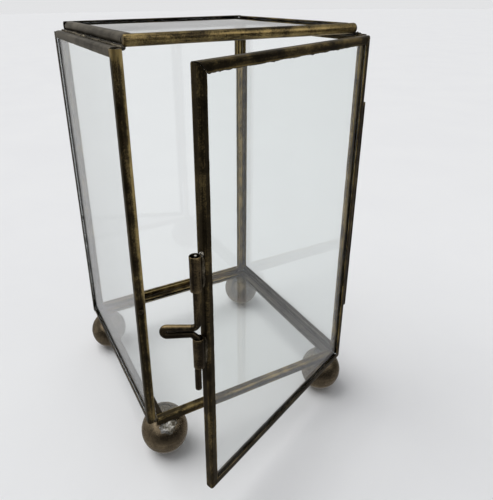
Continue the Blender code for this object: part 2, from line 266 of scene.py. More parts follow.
# Tones are the dark patina, the brass under it and the rubbed gold.
BRASS_TONES = (0.014, 0.011, 0.007), (0.046, 0.035, 0.019), (0.46, 0.34, 0.14)
BRASS = aged_brass("aged_brass", *BRASS_TONES, 0.75)
WIRE_TONES = (0.013, 0.010, 0.007), (0.042, 0.032, 0.020), (0.38, 0.28, 0.14)
WIRE = aged_brass("wire_brass", *WIRE_TONES, 0.55)
BALL_TONES = (0.096, 0.074, 0.049), (0.160, 0.124, 0.080), (0.30, 0.240, 0.145)
BALL = aged_brass("ball_brass", *BALL_TONES, 0.25, False, (0.20, 0.32))
# A greyer, lighter copy of the brass: a painted reflection of the pale room at grazing angles.
PAINTED_REFLECTION_TONES = (0.026, 0.023, 0.018), (0.085, 0.077, 0.064), (0.25, 0.22, 0.165)
PAINTED_REFLECTION_BRASS = aged_brass("painted_reflection_brass", *PAINTED_REFLECTION_TONES, 0.45, gloss=(0.36, 0.56))
# A darker copy of the brass with less gold: painted shade for the rails that lie in shade, low down and
# at the back.
PAINTED_SHADE_TONES = (0.011, 0.009, 0.007), (0.030, 0.023, 0.015), (0.25, 0.19, 0.10)
PAINTED_SHADE_BRASS = aged_brass("painted_shade_brass", *PAINTED_SHADE_TONES, 0.45, gloss=(0.28, 0.46))
SOLDER = solder_metal()
DULL_TONES = (0.030, 0.025, 0.018), (0.10, 0.085, 0.060), (0.45, 0.40, 0.30)
DULL_SOLDER = aged_brass("dull_solder", *DULL_TONES, 0.5, False)
FILL_TONES = (0.010, 0.009, 0.007), (0.036, 0.031, 0.024), (0.15, 0.13, 0.10)
DARK_SOLDER = aged_brass("dark_solder", *FILL_TONES, 0.3, False, (0.55, 0.75), 0.2)
GLASS = clear_glass("clear_glass")


# ---- Mesh helpers -----------------------------------------------------------------
def hump(value, middle, width):
    """1 at the middle, and falling to 0 over about two widths on either side."""
    return math.exp(-(((value - middle) / width) ** 2))


def ripple(point, scale, amount, seed):
    """A small smooth offset at a point.

    noise_vector has a start of its own that changes from run to run, so this does too.
    """
    return noise.noise_vector(point * scale + Vector((seed, 1.7 * seed, 0.3 * seed))) * amount


def seed_of(name):
    """The same number for the same name on every run."""
    return sum((i + 1) * ord(c) for i, c in enumerate(name)) % 977 / 7.0


def add_piece(name, mesh, look, slot, body, *nodes):
    mesh.materials.append(look)
    piece = bpy.data.objects.new(name, mesh)
    SCENE.collection.objects.link(piece)
    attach(piece, body)
    if nodes:
        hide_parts(*nodes)


def smooth_mesh(shape, name, sharp_deg=None):
    """A bmesh as a smooth mesh, with its faces outwards and edges past sharp_deg sharp."""
    bmesh.ops.recalc_face_normals(shape, faces=shape.faces)
    mesh = bpy.data.meshes.new(name)
    shape.to_mesh(mesh)
    shape.free()
    mesh.shade_smooth()
    if sharp_deg is not None:
        mesh.set_sharp_from_angle(angle=math.radians(sharp_deg))
    return mesh


def swept_mesh(name, rings, along, around, wear_and_painted_light, sharp_deg=50):
    """A closed mesh through rings of points, capped at both ends.

    along gives each ring's distance and around each point's, in metres, for the UV
    map. wear_and_painted_light is a value for each point of a ring, and the same for
    every ring unless it is a list for each of them.
    """
    shape = bmesh.new()
    uv = shape.loops.layers.uv.new("Metres")
    gold_from_wear_and_light = shape.verts.layers.float.new("wear_and_painted_light")
    grid = []
    rows = wear_and_painted_light if isinstance(wear_and_painted_light[0], list) else [wear_and_painted_light] * len(rings)
    for ring, values in zip(rings, rows):
        row = [shape.verts.new(p) for p in ring]
        for vertex, value in zip(row, values):
            vertex[gold_from_wear_and_light] = value
        grid.append(row)
    count = len(rings[0])
    for i in range(len(grid) - 1):
        for j in range(count):
            k = (j + 1) % count
            corners = ((i, j), (i, k), (i + 1, k), (i + 1, j))
            face = shape.faces.new([grid[a][b] for a, b in corners])
            for loop, (a, b) in zip(face.loops, corners):
                turn = around[count] if b == 0 and j == count - 1 else around[b]
                loop[uv].uv = (along[a], turn)
    for row, at in ((grid[0][::-1], along[0]), (grid[-1], along[-1])):
        face = shape.faces.new(row)
        for loop in face.loops:
            loop[uv].uv = (at, around[len(around) // 2])
    return smooth_mesh(shape, name, sharp_deg)


def distances(points, closed=False):
    """Distance along a polyline at each point, and once more on the way round."""
    total, result = 0.0, [0.0]
    pairs = list(zip(points, points[1:])) + ([(points[-1], points[0])] if closed else [])
    for a, b in pairs:
        total += (Vector(b) - Vector(a)).length
        result.append(total)
    return result


def arc(center, radius, start_deg, end_deg, steps=7):
    """Points along part of a circle, both ends included."""
    turn = end_deg - start_deg
    angles = [math.radians(start_deg + turn * i / steps) for i in range(steps + 1)]
    return [(center[0] + radius * math.cos(a), center[1] + radius * math.sin(a)) for a in angles]


def resample(points, step):
    """Points a step apart along a polyline, with both its ends kept."""
    points = [Vector(p) for p in points]
    at = distances(points)
    count = max(2, round(at[-1] / step))
    result, i = [], 0
    for k in range(count + 1):
        wanted = at[-1] * k / count
        while i < len(points) - 2 and at[i + 1] < wanted:
            i += 1
        share = (wanted - at[i]) / max(at[i + 1] - at[i], 1e-9)
        result.append(points[i].lerp(points[i + 1], min(share, 1)))
    return result


def tube_mesh(name, path, radius, sides=20, lumps=0.0, seed=0.0, end_round=0.35, wear_and_painted_light=None):
    """A round bar along a path, with softened ends. radius may depend on the share along it.

    lumps is how far its radius wanders, as a share. wear_and_painted_light is a function of the point.
    """

    def reach(share):
        return radius(share) if callable(radius) else radius

    path = [Vector(p) for p in path]
    along = distances(path)
    rings, side = [], None
    for i, point in enumerate(path):
        ahead = (path[min(i + 1, len(path) - 1)] - path[max(i - 1, 0)]).normalized()
        if side is None:
            side = ahead.orthogonal().normalized()
        side = (side - ahead * side.dot(ahead)).normalized()
        other = ahead.cross(side)
        size = reach(along[i] / along[-1])
        ring = []
        for k in range(sides):
            angle = 2 * math.pi * k / sides
            out = side * math.cos(angle) + other * math.sin(angle)
            where = point + out * size
            wander = 1 + lumps * noise.noise(where * 900 + Vector((seed, 0, 0)))
            wander += 0.6 * lumps * noise.noise(where * 2600 + Vector((0, seed, 0)))
            ring.append(point + out * size * wander)
        rings.append(ring)
    for end, (edge, inner) in ((0, (0, 1)), (-1, (-1, -2))):
        middle = path[edge]
        back = (path[inner] - path[edge]).normalized()
        tips = [middle + (p - middle) * (1 - end_round * 0.5) for p in rings[edge]]
        depth = end_round * 0.5 * reach(0 if end == 0 else 1)
        rings[edge] = [p + back * depth for p in rings[edge]]
        if end == 0:
            rings.insert(0, tips)
            along.insert(0, along[0] - 1e-5)
        else:
            rings.append(tips)
            along.append(along[-1] + 1e-5)
    size = reach(0.5)
    around = [2 * math.pi * size * k / sides for k in range(sides + 1)]
    wear_and_light_rows = [[wear_and_painted_light(p) if wear_and_painted_light else 0.35 for p in ring] for ring in rings]
    return swept_mesh(name, rings, along, around, wear_and_light_rows, sharp_deg=60)


# ---- Brass channels ---------------------------------------------------------------
JOINTS = {joint["name"]: joint for joint in frame["joints"]}
HINGE, LATCH_JOINT = JOINTS["door_hinge"], JOINTS["latch_turn"]
HINGE_Z = HINGE["pos_m"][2]
# The axes of the door as it stands open: X along it and Y through it, from the hinge.
OPEN_ANGLE = math.radians(-HINGE["range_deg"][0])
AT_HINGE = Matrix.Translation(HINGE["pos_m"]) @ Matrix.Rotation(OPEN_ANGLE, 4, "Z")
WALL = 0.5 * MM
LIP = 0.12 * MM
# The radius of a channel's folds, by pane, and for the other panes.
CORNER = {"top": 1.95 * MM, "door": 1.05 * MM, "bottom": 0.7 * MM, "left": 1.35 * MM}
USUAL_CORNER = 1.2 * MM
STEP = 1.6 * MM  # between the rings of a swept piece


def box_in(node, axes):
    """Lowest and highest corners of a CAD node, measured along the axes of a matrix."""
    inverse = axes.inverted()
    points = [inverse @ v.co for v in frame["nodes"][node].data.vertices]
    return Vector(map(min, zip(*points))), Vector(map(max, zip(*points)))


def channel_section(thick, leg, corner, fold):
    """The U section as (across, deep, wear) points, with rounded folds and lips.

    Wear is high on the lips, fold says how high it is on the folds, and it is low on
    the flats between them.
    """
    half, middle, hollow = thick / 2, thick / 2 - corner, corner - WALL
    flats = [(middle * share, 0.0) for share in (-0.6, 0.0, 0.6) if middle > 0.2 * MM]
    left_fold = arc((-middle, corner), corner, 180, 270)
    right_fold = arc((middle, corner), corner, 270, 360)
    leg_flat = [(half, corner + (leg - corner) * share) for share in (0.25, 0.7)]
    lip = arc((half - LIP, leg - LIP), LIP, 0, 90, 3)
    lip += arc((half - WALL + LIP, leg - LIP), LIP, 90, 180, 3)
    inside = arc((middle, corner), hollow, 360, 270) + arc((-middle, corner), hollow, 270, 180)
    mirrored = [(-a, d) for a, d in reversed(leg_flat)], [(-a, d) for a, d in reversed(lip)]
    runs = [(left_fold, fold), (flats, 0.1), (right_fold, fold), (leg_flat, 0.2), (lip, 0.9)]
    runs += [(inside, 0.0), (mirrored[1], 0.9), (mirrored[0], 0.2)]
    section = []
    for points, wear_and_painted_light in runs:
        for a, d in points:
            if not section or math.dist((a, d), section[-1][:2]) > 1e-6:
                section.append((a, d, wear_and_painted_light))
    return section


# How worn a channel's folds are, by pane, and for the other panes. The bottom pane's extra gold on its
# folds is a painted highlight along their ridges.
FOLD_WEAR_AND_HIGHLIGHT = {"bottom": 0.7}
USUAL_FOLD_WEAR = 0.55
# More or less gold as a whole than the others. This is partly wear, and on the rails lowered because
# they lie in shade it is painted shade.
WEAR_AND_SHADE = {
    "left_back_post": -0.7,
    "top_back_rail": -0.7,
    "top_right_rail": -0.4,
    "bottom_left_rail": -0.4,
    "door_bottom_rail": -0.4,
    "left_bottom_rail": -0.4,
    "back_right_post": 0.45,
    "right_back_post": 0.45,
    "door_latch_stile": -0.25,
    "door_hinge_stile": -0.25,
    "back_bottom_rail": 0.3,
    "right_top_rail": -0.4,
}
# More gold towards one side: a painted reflection, one half of the post lighter than the other.
PAINTED_REFLECTION_LEAN = {"left_front_post": 0.5, "right_front_post": -0.3}
# Rubbed round one height: (height, reach, how much).
PATCHES = {
    "door_latch_stile": (33 * MM, 6 * MM, 0.35),
    "left_front_post": (151.5 * MM, 2.5 * MM, 1.2),
}
# Rails given the greyer brass, a painted reflection.
PAINTED_REFLECTION_RAILS = ("left_top_rail", "top_left_rail", "bottom_right_rail", "right_bottom_rail", "left_back_post")
# Rails given the darker brass, painted shade.
PAINTED_SHADE_RAILS = ("door_bottom_rail", "left_bottom_rail", "bottom_left_rail", "top_back_rail", "back_top_rail")
LOOKS = {**dict.fromkeys(PAINTED_REFLECTION_RAILS, PAINTED_REFLECTION_BRASS), **dict.fromkeys(PAINTED_SHADE_RAILS, PAINTED_SHADE_BRASS)}


def channel(node, body, axes, normal, middle, mitred):
    """A folded brass channel in the box of its CAD node, a little uneven as made by hand."""
    pane = node.split("_")[0]
    low, high = box_in(node, axes)
    size = high - low
    run = max((X, Y, Z), key=lambda a: size[a])
    deep = 3 - run - normal
    inward = 1 if middle[deep] > (low[deep] + high[deep]) / 2 else -1
    outer = low[deep] if inward > 0 else high[deep]
    corner = CORNER.get(pane, USUAL_CORNER)
    fold = FOLD_WEAR_AND_HIGHLIGHT.get(pane, USUAL_FOLD_WEAR)
    section = channel_section(size[normal], size[deep], corner, fold)
    center = (low[normal] + high[normal]) / 2
    seed = seed_of(node)
    stations = max(2, round(size[run] / STEP))
    rings, along = [], []
    for i in range(stations + 1):
        share = i / stations
        ring = []
        for across, depth, wear_and_painted_light in section:
            point = Vector((0, 0, 0))
            short = depth if mitred else 0.0
            point[run] = low[run] + short + share * (size[run] - 2 * short)
            point[normal] = center + across
            point[deep] = outer + inward * depth
            bend = ripple(point, 45, 0.045 * MM, seed) + ripple(point, 260, 0.018 * MM, seed)
            bend[run] *= 0.4
            if depth > size[deep] - 2 * LIP:
                bend[deep] += 0.10 * MM * noise.noise(Vector((point[run] * 420, seed, 0)))
            ring.append(axes @ held_in(point + bend, low, high))
        rings.append(ring)
        along.append(share * size[run])
    around = distances([(a, d, 0) for a, d, w in section], closed=True)
    # lean paints a reflection across the post: more gold towards one side.
    lean = PAINTED_REFLECTION_LEAN.get(node, 0.0) / (size[normal] / 2)
    wear_and_painted_light = [w + lean * a + WEAR_AND_SHADE.get(node, 0.0) for a, d, w in section]
    if node in PATCHES:
        wear_and_painted_light = patched(wear_and_painted_light, rings, PATCHES[node])
    mesh = swept_mesh(node, rings, along, around, wear_and_painted_light)
    add_piece(node + "_came", mesh, LOOKS.get(node, BRASS), "aged_brass", body, node)


def held_in(point, low, high):
    """The point, moved into a box if it lies outside."""
    return Vector([min(max(p, a), b) for p, a, b in zip(point, low, high)])


def patched(wear_and_painted_light, rings, patch):
    """Wear for each point of each ring, with an extra rub round one height."""
    height, reach, extra = patch
    return [[w + extra * hump(p.z, height, reach) for p, w in zip(ring, wear_and_painted_light)] for ring in rings]


PANES = {
    "left": (X, BOX, ("front_post", "back_post", "bottom_rail", "top_rail")),
    "right": (X, BOX, ("front_post", "back_post", "bottom_rail", "top_rail")),
    "back": (Y, BOX, ("left_post", "right_post", "bottom_rail", "top_rail")),
    "bottom": (Z, BOX, ("left_rail", "right_rail", "front_rail", "back_rail")),
    "top": (Z, BOX, ("left_rail", "right_rail", "back_rail")),
    "door": (Y, DOOR, ("latch_stile", "hinge_stile", "bottom_rail", "top_rail")),
}


def channels():
    for pane, (normal, body, parts) in PANES.items():
        axes = AT_HINGE if pane == "door" else Matrix.Identity(4)
        low, high = box_in(pane + "_glass", axes)
        for part in parts:
            channel(f"{pane}_{part}", body, axes, normal, (low + high) / 2, pane == "door")


def top_front_bar():
    """The slotted round bar along the front of the top pane, solid past the glass."""
    low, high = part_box("top_front_rail")
    radius = (high.z - low.z) / 2
    center = Vector((0, (low.y + high.y) / 2, (low.z + high.z) / 2))
    glass_low, glass_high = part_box("top_glass")
    gap = 0.3 * MM
    slot_half = (glass_high.z - glass_low.z) / 2 + gap
    slot_floor = glass_low.y - gap - center.y
    turn = math.degrees(math.asin(slot_half / radius))
    outside = [(p, 0.6) for p in arc((0, 0), radius, turn, 360 - turn, 36)]
    slotted = outside + [((slot_floor, -slot_half), 0.2), ((slot_floor, slot_half), 0.2)]
    full = outside + [((radius, -slot_half * 0.4), 0.6), ((radius, slot_half * 0.4), 0.6)]
    solid_end = glass_low.x - gap - low.x
    length = high.x - low.x
    soft = 0.7 * MM
    nose = [soft * share for share in (0.0, 0.05, 0.2, 0.5, 1.0)]
    stations = nose + [solid_end * 0.96, solid_end]
    count = round(length / STEP)
    stations += [solid_end + (length - 2 * solid_end) * i / count for i in range(1, count)]
    stations += [length - at for at in reversed(nose + [solid_end * 0.96, solid_end])]
    rings = []
    for at in stations:
        solid = at < solid_end * 0.98 or at > length - solid_end * 0.98
        from_end = min(at, length - at, soft) / soft
        shrink = 1 - soft / radius * (1 - math.sqrt(1 - (1 - from_end) ** 2))
        ring = []
        for (y, z), wear_and_painted_light in full if solid else slotted:
            point = Vector((low.x + at, center.y + y * shrink, center.z + z * shrink))
            bend = ripple(point, 60, 0.05 * MM, 5) + ripple(point, 300, 0.02 * MM, 6)
            ring.append(held_in(point + bend, low, high))
        rings.append(ring)
    around = distances([(a, b, 0) for (a, b), w in slotted], closed=True)
    mesh = swept_mesh("top_front_bar", rings, stations, around, [w for p, w in slotted], 40)
    add_piece("top_front_bar", mesh, BRASS, "aged_brass", BOX, "top_front_rail")


# ---- Ball feet, hinge, latch --------------------------------------------------------
AXES = {
    "hinge_tube": Vector(HINGE["pos_m"]),
    "latch_tube_upper": Vector(LATCH_JOINT["pos_m"]),
    "latch_tube_lower": Vector(LATCH_JOINT["pos_m"]),
}
TUBE_WALL = 0.36 * MM
HINGE_BORE, LATCH_BORE = 0.9 * MM, 1.42 * MM
LATCH_WIRE_RADIUS = 1.07 * MM
WORN_FLAT_RADIUS = 1.6 * MM  # of the flat that a ball stands on
# The lines round a ball: height and width as shares of its radius, and depth in mm.
PARTING_LINE = (0.0, 0.022, 0.14)
LOWER_LINE = (-0.31, 0.034, 0.24)


def ball_place(node):
    """The CAD box of a ball foot, and its centre and radius from its worn flat and girth."""
    low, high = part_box(node)
    radius = (high.x - low.x) / 2
    center = (low + high) / 2
    center.z = low.z + math.sqrt(radius**2 - WORN_FLAT_RADIUS**2)
    return low, high, center, radius


def ball(node):
    """A cast ball: slightly out of round, with a parting line, a seat and a worn flat."""
    low, high, center, radius = ball_place(node)
    seed = seed_of(node)
    shape = bmesh.new()
    bmesh.ops.create_uvsphere(shape, u_segments=80, v_segments=96, radius=1.0)
    gold_from_wear_and_light = shape.verts.layers.float.new("wear_and_painted_light")
    for vertex in shape.verts:
        out = vertex.co.normalized()
        reach = radius + 0.05 * MM * noise.noise(out * 2.2 + Vector((seed, 0, 0)))
        reach += 0.02 * MM * noise.noise(out * 9 + Vector((seed, 5, 0)))
        parting = hump(out.z, *PARTING_LINE[:2])
        lower = hump(out.z, *LOWER_LINE[:2])
        reach -= (PARTING_LINE[2] * parting + LOWER_LINE[2] * lower) * MM
        reach -= 0.04 * MM if out.z < 0 else 0
        vertex.co = center + out * reach
        vertex.co.z = min(max(vertex.co.z, low.z), high.z)
        near_line = hump(abs(out.z), 0.06, 0.03)
        lip = hump(out.z, -0.39, 0.03)
        clouds = 0.3 * noise.noise(out * 2 + Vector((0, seed, 0)))
        vertex[gold_from_wear_and_light] = 0.3 + clouds + 0.5 * near_line + 1.3 * lip - 0.9 * lower
    bmesh.ops.remove_doubles(shape, verts=shape.verts, dist=0.02 * MM)
    add_piece(node + "_ball", smooth_mesh(shape, node), BALL, "ball_brass", BOX, node)


def tube(node, body, bore):
    """A short length of drawn tube, its ends sawn and slightly rounded."""
    low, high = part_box(node)
    radius = bore + TUBE_WALL
    axis = AXES[node]
    seed = seed_of(node)
    soft = 0.1 * MM
    profile = [(radius - soft, high.z), (radius, high.z - soft)]
    count = max(2, round((high.z - low.z) / STEP))
    straight = high.z - low.z - 2 * soft
    profile += [(radius, high.z - soft - straight * i / count) for i in range(1, count)]
    profile += [(radius, low.z + soft), (radius - soft, low.z), (bore, low.z), (bore, high.z)]
    sawn, side, inside = [0.9, 0.9], [0.4], [0.2, 0.2]
    wear_and_painted_light = sawn + side * (len(profile) - 6) + sawn + inside
    sides = 40
    rings = []
    for k in range(sides):
        angle = -2 * math.pi * k / sides
        ring = []
        for reach, z in profile:
            point = Vector((axis.x + reach * math.cos(angle), axis.y + reach * math.sin(angle), z))
            ring.append(point + ripple(point, 220, 0.03 * MM, seed) * (1 if reach > bore else 0))
        rings.append(ring)
    mesh = turned_mesh(node, rings, profile, radius, wear_and_painted_light)
    add_piece(node + "_brass", mesh, WIRE, "wire_brass", body, node)


def turned_mesh(name, rings, profile, radius, wear_and_painted_light):
    """A mesh through profiles set round an axis, for a tube."""
    shape = bmesh.new()
    uv = shape.loops.layers.uv.new("Metres")
    gold_from_wear_and_light = shape.verts.layers.float.new("wear_and_painted_light")
    grid = []
    for ring in rings:
        grid.append([shape.verts.new(p) for p in ring])
        for vertex, value in zip(grid[-1], wear_and_painted_light):
            vertex[gold_from_wear_and_light] = value
    count, sides = len(profile), len(rings)
    for i in range(sides):
        for j in range(count):
            after, below = (i + 1) % sides, (j + 1) % count
            corners = ((i, j), (after, j), (after, below), (i, below))
            face = shape.faces.new([grid[a][b] for a, b in corners])
            for loop, (a, b) in zip(face.loops, corners):
                turn = sides if a == 0 and i == sides - 1 else a
                loop[uv].uv = (profile[b][1], 2 * math.pi * radius * turn / sides)
    return smooth_mesh(shape, name, 50)


def hinge_pin():
    """The hinge wire, with both ends bent back against the post."""
    low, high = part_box("hinge_pin")
    axis = AXES["hinge_tube"]
    radius = (high.x - low.x) / 2
    bend = 1.0 * MM
    path = [(high.y, high.z - radius)]
    path += arc((axis.y + bend, high.z - radius - bend), bend, 90, 180)
    path += arc((axis.y + bend, low.z + radius + bend), bend, 180, 270)
    path += [(high.y, low.z + radius)]
    points = [Vector((axis.x, y, z)) for y, z in path]
    mesh = tube_mesh("hinge_pin", points, radius, 16, 0.05)
    add_piece("hinge_pin_wire", mesh, WIRE, "wire_brass", BOX, "hinge_pin")


def latch_bolt():
    """The latch wire: down the tubes' axis, out and back as the handle, and a bowed tail."""
    low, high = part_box("latch_bolt")
    axis = AXES["latch_tube_upper"]
    radius = LATCH_WIRE_RADIUS
    turned = [v.co for v in frame["nodes"]["latch_bolt"].data.vertices]
    tip = max(turned, key=lambda p: (p.xy - axis.xy).length)
    out = (tip - axis).to_2d().normalized()
    reach = (tip.xy - axis.xy).length
    upper, root, tip_z = 73.6 * MM, 71.3 * MM, 70.9 * MM
    curl = (upper - tip_z) / 2
    far = reach - radius - curl
    path = [(0, high.z), (0, upper + 6 * MM)]
    path += arc((1.7 * MM, upper + 1.7 * MM), 1.7 * MM, 180, 270, 10)
    path += arc((far, tip_z + curl), curl, 90, -90, 16)
    path += arc((2.2 * MM, root - 0.8 * MM), 0.8 * MM, 90, 135, 5)
    path += arc((1.35 * MM, root - 2.35 * MM), 1.35 * MM, 135, 180, 6)
    path += [(0, 60.6 * MM), (0.28 * MM, 58.8 * MM), (0.48 * MM, 57.0 * MM), (0.5 * MM, low.z)]
    points = [Vector((axis.x + out.x * r, axis.y + out.y * r, z)) for r, z in path]
    smooth = resample(points, 0.35 * MM)
    handle_top = upper + radius

    def wear_and_painted_light(point):
        """The handle's upper arm is gold along its top: a painted highlight."""
        out_on_arm = (point.xy - axis.xy).length > 2 * radius
        return 0.25 + (0.9 * hump(point.z, handle_top, 0.7 * MM) if out_on_arm else 0)

    mesh = tube_mesh("latch_bolt", smooth, radius, 28, 0.03, 3.0, 0.2, wear_and_painted_light)
    add_piece("latch_bolt_wire", mesh, WIRE, "wire_brass", LATCH, "latch_bolt")


def keeper_stud():
    """A small domed rivet head on the left front post."""
    low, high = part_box("keeper_stud")
    center = (low + high) / 2
    radius = (high.x - low.x) / 2
    head = low.y + 0.65 * MM
    path = [Vector((center.x, y, center.z)) for y in (low.y, head)]

    def reach(share):
        return radius * (0.7 + 0.3 * math.sin(min(share * 2.2, 1) * math.pi / 2))

    mesh = tube_mesh("keeper_stud", resample(path, 0.1 * MM), reach, 24, 0.05, 8.0, 0.3)
    add_piece("keeper_stud_head", mesh, WIRE, "wire_brass", BOX, "keeper_stud")


# ---- Solder ---------------------------------------------------------------------------
def bead(name, points, radius, body, lumps=0.55, look=None):
    """A lumpy run of solder along a line, thinner at its ends."""
    path = resample(points, 0.35 * MM)
    length = distances(path)[-1]
    seed = seed_of(name)

    def reach(share):
        from_end = min(share, 1 - share) * length
        taper = min(1, 0.3 + from_end / (3 * radius))
        wave = noise.noise(Vector((share * length * 190, seed, 0)))
        return radius * taper * (0.85 + lumps * wave)

    mesh = tube_mesh(name, path, reach, 12, lumps, seed)
    add_piece(name, mesh, look or SOLDER, "solder", body)


def blob(name, center, size, body, look=None):
    """A drop of solder: an uneven ball of half-widths size."""
    seed = seed_of(name)
    shape = bmesh.new()
    bmesh.ops.create_icosphere(shape, subdivisions=4, radius=1.0)
    for vertex in shape.verts:
        out = vertex.co.copy()
        push = 1 + 0.28 * noise.noise(out * 1.6 + Vector((seed, 0, 0)))
        push += 0.12 * noise.noise(out * 4.5 + Vector((0, seed, 0)))
        vertex.co = Vector([out[a] * size[a] * push for a in range(3)]) + Vector(center)
    add_piece(name, smooth_mesh(shape, name), look or SOLDER, "solder", body)


def top_seams():
    """Solder where the top pane meets the side panes and the back pane."""
    for side, lean in SIDES:
        low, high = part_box(f"{side}_top_rail")
        x = (high.x - 0.15 * MM) if lean > 0 else (low.x + 0.15 * MM)
        z = high.z - 0.1 * MM
        ends = [(x, low.y - 2.4 * MM, z), (x, high.y + 2.4 * MM, z)]
        bead(f"solder_top_{side}", ends, 0.5 * MM, BOX, 0.9, DULL_SOLDER)
        frame_low, frame_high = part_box(f"top_{side}_rail")
        slot = (frame_low.x if lean > 0 else frame_high.x) + lean * 0.1 * MM
        ends = [(slot, y, frame_low.z - 0.25 * MM) for y in (low.y - 2.0 * MM, high.y + 2.6 * MM)]
        bead(f"solder_fill_{side}", ends, 0.95 * MM, BOX, 0.15, DARK_SOLDER)
        post_low, post_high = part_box(f"{side}_front_post")
        inner = post_high.x if lean > 0 else post_low.x
        corner = (inner - lean * 0.7 * MM, post_high.y - 1.3 * MM, post_high.z - 0.1 * MM)
        blob(f"solder_post_{side}", corner, (0.8 * MM, 1.4 * MM, 0.4 * MM), BOX, DULL_SOLDER)
    low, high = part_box("top_back_rail")
    runs = (
        ("back", high.y - 0.55 * MM, 0.42 * MM, DULL_SOLDER),
        ("inside", low.y + 1.2 * MM, 0.5 * MM, DARK_SOLDER),
    )
    for place, y, radius, look in runs:
        ends = [(x, y, low.z - 0.1 * MM) for x in (low.x, high.x)]
        bead(f"solder_top_{place}", ends, radius, BOX, 0.3, look)


def back_seams():
    """Solder down the two back corners, inside and out."""
    for side, lean in SIDES:
        low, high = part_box(f"back_{side}_post")
        x = low.x if lean > 0 else high.x
        bottom, top = low.z + 1 * MM, high.z - 1 * MM
        outside = [(x - lean * 0.15 * MM, high.y - 0.35 * MM, z) for z in (bottom, top)]
        bead(f"solder_back_{side}", outside, 0.55 * MM, BOX, 0.4, DULL_SOLDER)
        inside = [(x - lean * 0.15 * MM, low.y + 0.1 * MM, z) for z in (bottom + 3 * MM, top - 3 * MM)]
        bead(f"solder_back_{side}_inside", inside, 0.35 * MM, BOX, 0.4, DULL_SOLDER)


def bottom_seams():
    """Solder between the bottom pane and the panes that stand round it."""
    for side, lean in SIDES:
        low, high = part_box(f"{side}_bottom_rail")
        inner = (high.x if lean > 0 else low.x) + lean * 0.05 * MM
        ends = [(inner, y, low.z - 0.1 * MM) for y in (low.y - 1.6 * MM, high.y + 0.6 * MM)]
        bead(f"solder_bottom_{side}", ends, 0.78 * MM, BOX, 0.12, DARK_SOLDER)
        rail_low, rail_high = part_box("bottom_front_rail")
        end = rail_low.x if lean > 0 else rail_high.x
        spot = (end - lean * 0.6 * MM, rail_low.y + 1.2 * MM, rail_high.z + 0.3 * MM)
        blob(f"solder_front_{side}", spot, (0.6 * MM, 1.1 * MM, 1.5 * MM), BOX, DULL_SOLDER)
        post_low, post_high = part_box(f"{side}_front_post")
        seam = (post_high.x - 0.1 * MM) if lean > 0 else (post_low.x + 0.1 * MM)
        ends = [(seam, post_low.y + 0.9 * MM, post_low.z + h * MM) for h in (0.6, 9.0)]
        bead(f"solder_post_foot_{side}", ends, 0.38 * MM, BOX, 0.8)
        drip = (seam - lean * 0.5 * MM, post_low.y + 0.25 * MM, post_low.z + 0.9 * MM)
        blob(f"solder_drip_{side}", drip, (0.8 * MM, 0.4 * MM, 1.0 * MM), BOX, DULL_SOLDER)
    low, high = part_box("back_bottom_rail")
    ends = [(x, low.y - 0.05 * MM, low.z - 0.1 * MM) for x in (low.x - 2.5 * MM, high.x + 2.5 * MM)]
    bead("solder_bottom_back", ends, 0.75 * MM, BOX, 0.12, DARK_SOLDER)
    for side, lean in SIDES:
        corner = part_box("bottom_back_rail")[1]
        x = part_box(f"bottom_{side}_rail")[0 if lean > 0 else 1].x
        spot = (x + lean * 2.0 * MM, corner.y - 1.6 * MM, corner.z + 0.1 * MM)
        blob(f"solder_inner_{side}", spot, (2.0 * MM, 1.7 * MM, 0.5 * MM), BOX, DULL_SOLDER)


def ball_solder():
    """A collar of solder round each ball's seat, and a splash below it, bright on one."""
    steps = 40
    for corner in FEET:
        low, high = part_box("foot_" + corner)
        center = (low + high) / 2
        ring = []
        for k in range(steps + 1):
            angle = 2 * math.pi * k / steps
            east, north = math.cos(angle), math.sin(angle)
            reach = 4.1 * MM * (1 + 0.12 * noise.noise(Vector((east, north, seed_of(corner)))))
            ring.append((center.x + reach * east, center.y + reach * north, high.z - 0.15 * MM))
        bead(f"solder_foot_{corner}", ring, 0.55 * MM, BOX, 0.5, DULL_SOLDER)
    splash("front_left", (-0.06, -0.66, 0.75), 0.32, 7.0, SOLDER)
    splash("front_right", (0.3, -0.5, 0.9), 0.22, 11.0, DULL_SOLDER)
    splash("back_left", (-0.1, 0.0, 0.9), 0.22, 12.0, DULL_SOLDER)
    splash("back_right", (-0.3, -0.3, 0.9), 0.34, 13.0, DULL_SOLDER)


